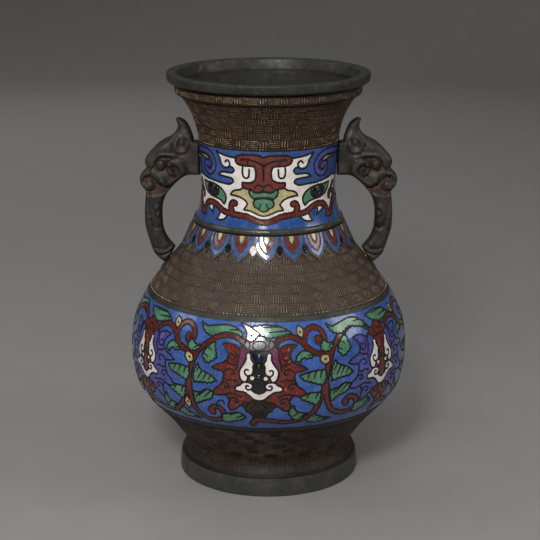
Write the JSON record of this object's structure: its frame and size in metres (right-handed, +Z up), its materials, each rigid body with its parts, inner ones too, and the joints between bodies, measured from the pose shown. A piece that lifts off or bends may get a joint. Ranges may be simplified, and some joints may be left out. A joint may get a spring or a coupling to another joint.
{
  "type": "two-handled enamelled bronze vase",
  "caption": "Baluster bronze vase with flared mouth, beast-head handles and inlaid enamel bands round the neck, collar and belly.",
  "frame": {"origin": "centre of the standing face of the foot ring", "axes": "+Z up along the body's axis, -Y towards the front of the decoration, +X towards the right handle"},
  "size_m": [0.2068, 0.2068, 0.305],
  "materials": {
    "foot_bronze": "dark patina, semi-gloss",
    "fret_bronze": "dark brown patina, worn brassy edges",
    "band_bronze": "dark olive patina, polished",
    "handle_bronze": "dark brown patina, reddish recesses",
    "base_bronze": "dull brown",
    "pin_brass": "dull",
    "solder": "dull yellowish",
    "enamel_blue": "glossy opaque enamel",
    "enamel_white": "glossy opaque enamel",
    "enamel_red": "glossy opaque enamel",
    "enamel_yellow": "glossy opaque enamel",
    "enamel_green": "glossy opaque enamel",
    "enamel_purple": "glossy opaque enamel",
    "enamel_dark": "glossy opaque enamel"
  },
  "bodies": {
    "root": {"foot_ring": "foot_bronze", "base_plate": "base_bronze", "foot_casting": "fret_bronze", "foot_flare_casting": "fret_bronze", "belly_low_casting": "band_bronze", "belly_casting": "band_bronze", "belly_high_casting": "band_bronze", "shoulder_casting": "fret_bronze", "petal_collar_casting": "band_bronze", "petal_rims": "band_bronze", "neck_collar_ring": "band_bronze", "neck_casting": "band_bronze", "neck_flare_casting": "fret_bronze", "mouth_band_casting": "fret_bronze", "mouth_rim": "band_bronze", "left_handle": "handle_bronze", "right_handle": "handle_bronze", "handle_tenons": "pin_brass", "handle_pins": "pin_brass", "handle_solder": "solder", "neck_ground_enamel": "enamel_blue", "mask_face_enamel": "enamel_white", "mask_nose_enamel": "enamel_red", "mask_jaw_enamel": "enamel_yellow", "mask_eye_enamel": "enamel_green", "petal_outer_enamel": "enamel_purple", "petal_inner_enamel": "enamel_red", "petal_core_enamel": "enamel_yellow", "small_petal_enamel": "enamel_dark", "belly_ground_enamel": "enamel_blue", "red_flower_enamel": "enamel_red", "purple_flower_enamel": "enamel_purple", "flower_heart_enamel": "enamel_white", "leaf_enamel": "enamel_green"}
  },
  "joints": []
}
